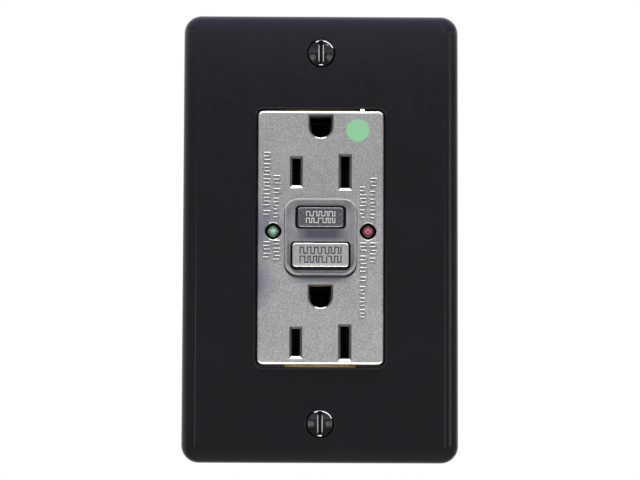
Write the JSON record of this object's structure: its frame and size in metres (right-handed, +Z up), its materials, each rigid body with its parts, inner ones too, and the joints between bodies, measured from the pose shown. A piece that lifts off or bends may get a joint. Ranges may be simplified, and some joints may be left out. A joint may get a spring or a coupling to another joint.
{
  "type": "gfci outlet",
  "caption": "Duplex ground-fault outlet with test and reset buttons, indicator lamps, wall plate, strap, wire terminals and a working trip mechanism.",
  "frame": {"origin": "in the wall plane, midway between the strap's two mounting screws", "axes": "+X to the right of someone facing the outlet, +Y into the wall, +Z up"},
  "size_m": [0.072, 0.0352, 0.1172],
  "materials": {
    "plate": "satin near-black moulding with a soft gloss",
    "face": "fine grained neutral grey moulding",
    "test_cap": "smooth dark grey moulding",
    "reset_cap": "smooth light grey moulding",
    "lamp_green": "clear tinted lamp lens",
    "lamp_red": "clear tinted lamp lens",
    "brass": "rolled brass strip",
    "bright_screw": "polished dark nickel",
    "zinc_steel": "zinc plated steel",
    "nickel": "nickel plated",
    "ground_green": "green dyed zinc",
    "copper": "bare copper alloy",
    "silver": "silver contact alloy",
    "back_plastic": "black glass-filled moulding",
    "inner_plastic": "black moulding",
    "fibre": "pressed fibre sheet",
    "board": "green solder mask",
    "core": "coated toroid core",
    "epoxy": "moulded epoxy",
    "varistor_blue": "dipped epoxy",
    "resistor_tan": "coated ceramic"
  },
  "bodies": {
    "device": {"wall_plate": "plate", "front_cover": "face", "green_lamp": "lamp_green", "red_lamp": "lamp_red", "mounting_strap": "brass", "ground_contact_upper": "brass", "ground_contact_lower": "brass", "screw_retainer_top": "fibre", "screw_retainer_bottom": "fibre", "separator": "inner_plastic", "back_body": "back_plastic", "housing_screw_1": "zinc_steel", "housing_screw_2": "zinc_steel", "housing_screw_3": "zinc_steel", "housing_screw_4": "zinc_steel", "hot_load_bar": "brass", "neutral_load_bar": "brass", "hot_fixed_contact": "silver", "neutral_fixed_contact": "silver", "hot_line_conductor": "copper", "neutral_line_conductor": "copper", "hot_line_terminal": "brass", "neutral_line_terminal": "nickel", "circuit_board": "board", "solenoid_bobbin": "inner_plastic", "solenoid_coil": "copper", "reset_spring": "zinc_steel", "test_resistor": "resistor_tan", "sensor_case": "inner_plastic", "differential_core": "core", "neutral_core": "core", "varistor": "varistor_blue", "capacitor": "epoxy", "controller_chip": "epoxy", "thyristor": "epoxy"},
    "test_button": {"test_button": "test_cap"},
    "test_leaf": {"test_leaf": "brass"},
    "reset_button": {"reset_button": "reset_cap", "reset_plunger": "zinc_steel"},
    "contact_carriage": {"contact_carriage": "inner_plastic", "latch_spring": "zinc_steel"},
    "latch_plate": {"latch_plate": "zinc_steel"},
    "solenoid_plunger": {"solenoid_plunger": "zinc_steel"},
    "hot_contact_arm": {"hot_contact_arm": "copper", "hot_moving_contact": "silver"},
    "neutral_contact_arm": {"neutral_contact_arm": "copper", "neutral_moving_contact": "silver"},
    "ground_screw": {"ground_screw": "ground_green"},
    "plate_screw_top": {"plate_screw_top": "bright_screw"},
    "plate_screw_bottom": {"plate_screw_bottom": "bright_screw"},
    "mounting_screw_top": {"mounting_screw_top": "zinc_steel"},
    "mounting_screw_bottom": {"mounting_screw_bottom": "zinc_steel"},
    "hot_line_screw": {"hot_line_screw": "brass"},
    "hot_line_clamp": {"hot_line_clamp": "zinc_steel"},
    "hot_load_screw": {"hot_load_screw": "brass"},
    "hot_load_clamp": {"hot_load_clamp": "zinc_steel"},
    "neutral_line_screw": {"neutral_line_screw": "nickel"},
    "neutral_line_clamp": {"neutral_line_clamp": "zinc_steel"},
    "neutral_load_screw": {"neutral_load_screw": "nickel"},
    "neutral_load_clamp": {"neutral_load_clamp": "zinc_steel"}
  },
  "joints": [
    {"name": "test_press", "type": "slide", "parent": "device", "child": "test_button", "axis": [0, 1, 0], "range_m": [0, 0.0014], "stiffness_N_per_m": 250, "springref_m": -0.004},
    {"name": "test_leaf_flex", "type": "hinge", "parent": "device", "child": "test_leaf", "pos_m": [0, 0.0027, 0.0115], "axis": [1, 0, 0], "range_deg": [0, 13.5]},
    {"name": "reset_press", "type": "slide", "parent": "device", "child": "reset_button", "axis": [0, 1, 0], "range_m": [0, 0.0022], "stiffness_N_per_m": 300, "springref_m": -0.005, "deforming": ["reset_spring"]},
    {"name": "carriage_slide", "type": "slide", "parent": "device", "child": "contact_carriage", "axis": [0, 1, 0], "range_m": [0, 0.00225]},
    {"name": "hot_arm_swing", "type": "hinge", "parent": "device", "child": "hot_contact_arm", "pos_m": [-0.0088, 0.0148, 0.0102], "axis": [1, 0, 0], "range_deg": [0, 9]},
    {"name": "neutral_arm_swing", "type": "hinge", "parent": "device", "child": "neutral_contact_arm", "pos_m": [0.0088, 0.0148, 0.0102], "axis": [1, 0, 0], "range_deg": [0, 9]},
    {"name": "solenoid_pull", "type": "slide", "parent": "device", "child": "solenoid_plunger", "axis": [0, 0, 1], "range_m": [0, 0.0012], "stiffness_N_per_m": 120, "springref_m": -0.003},
    {"name": "latch_slide", "type": "slide", "parent": "contact_carriage", "child": "latch_plate", "axis": [0, 0, 1], "range_m": [0, 0.00125], "deforming": ["latch_spring"]},
    {"name": "hot_line_screw_turn", "type": "hinge", "parent": "device", "child": "hot_line_screw", "pos_m": [-0.019, 0.013, 0.014], "axis": [-1, 0, 0], "range_deg": [0, 1080]},
    {"name": "hot_line_clamp_slide", "type": "slide", "parent": "device", "child": "hot_line_clamp", "axis": [1, 0, 0], "range_m": [0, 0.00238]},
    {"name": "hot_load_screw_turn", "type": "hinge", "parent": "device", "child": "hot_load_screw", "pos_m": [-0.019, 0.013, -0.014], "axis": [-1, 0, 0], "range_deg": [0, 1080]},
    {"name": "hot_load_clamp_slide", "type": "slide", "parent": "device", "child": "hot_load_clamp", "axis": [1, 0, 0], "range_m": [0, 0.00238]},
    {"name": "neutral_line_screw_turn", "type": "hinge", "parent": "device", "child": "neutral_line_screw", "pos_m": [0.019, 0.013, 0.014], "axis": [1, 0, 0], "range_deg": [0, 1080]},
    {"name": "neutral_line_clamp_slide", "type": "slide", "parent": "device", "child": "neutral_line_clamp", "axis": [-1, 0, 0], "range_m": [0, 0.00238]},
    {"name": "neutral_load_screw_turn", "type": "hinge", "parent": "device", "child": "neutral_load_screw", "pos_m": [0.019, 0.013, -0.014], "axis": [1, 0, 0], "range_deg": [0, 1080]},
    {"name": "neutral_load_clamp_slide", "type": "slide", "parent": "device", "child": "neutral_load_clamp", "axis": [-1, 0, 0], "range_m": [0, 0.00238]},
    {"name": "ground_screw_turn", "type": "hinge", "parent": "device", "child": "ground_screw", "pos_m": [-0.0096, 0.005, 0.0396], "axis": [-1, 0, 0], "continuous": true},
    {"name": "plate_screw_top_turn", "type": "hinge", "parent": "device", "child": "plate_screw_top", "pos_m": [0, -0.0057, 0.04842], "axis": [0, -1, 0], "continuous": true},
    {"name": "mounting_screw_top_turn", "type": "hinge", "parent": "device", "child": "mounting_screw_top", "pos_m": [0, -0.0015, 0.04165], "axis": [0, -1, 0], "continuous": true},
    {"name": "plate_screw_bottom_turn", "type": "hinge", "parent": "device", "child": "plate_screw_bottom", "pos_m": [0, -0.0057, -0.04842], "axis": [0, -1, 0], "continuous": true},
    {"name": "mounting_screw_bottom_turn", "type": "hinge", "parent": "device", "child": "mounting_screw_bottom", "pos_m": [0, -0.0015, -0.04165], "axis": [0, -1, 0], "continuous": true}
  ],
  "couplings": [
    {"joint": "test_leaf_flex", "follows": "test_press", "rad_per_m": 160},
    {"joint": "carriage_slide", "follows": "reset_press", "ratio": 1},
    {"joint": "hot_arm_swing", "follows": "reset_press", "rad_per_m": 66.8},
    {"joint": "neutral_arm_swing", "follows": "reset_press", "rad_per_m": 66.8},
    {"joint": "latch_slide", "follows": "solenoid_pull", "ratio": 1},
    {"joint": "hot_line_screw_turn", "follows": "hot_line_clamp_slide", "rad_per_m": 7913.3},
    {"joint": "hot_load_screw_turn", "follows": "hot_load_clamp_slide", "rad_per_m": 7913.3},
    {"joint": "neutral_line_screw_turn", "follows": "neutral_line_clamp_slide", "rad_per_m": 7913.3},
    {"joint": "neutral_load_screw_turn", "follows": "neutral_load_clamp_slide", "rad_per_m": 7913.3}
  ]
}
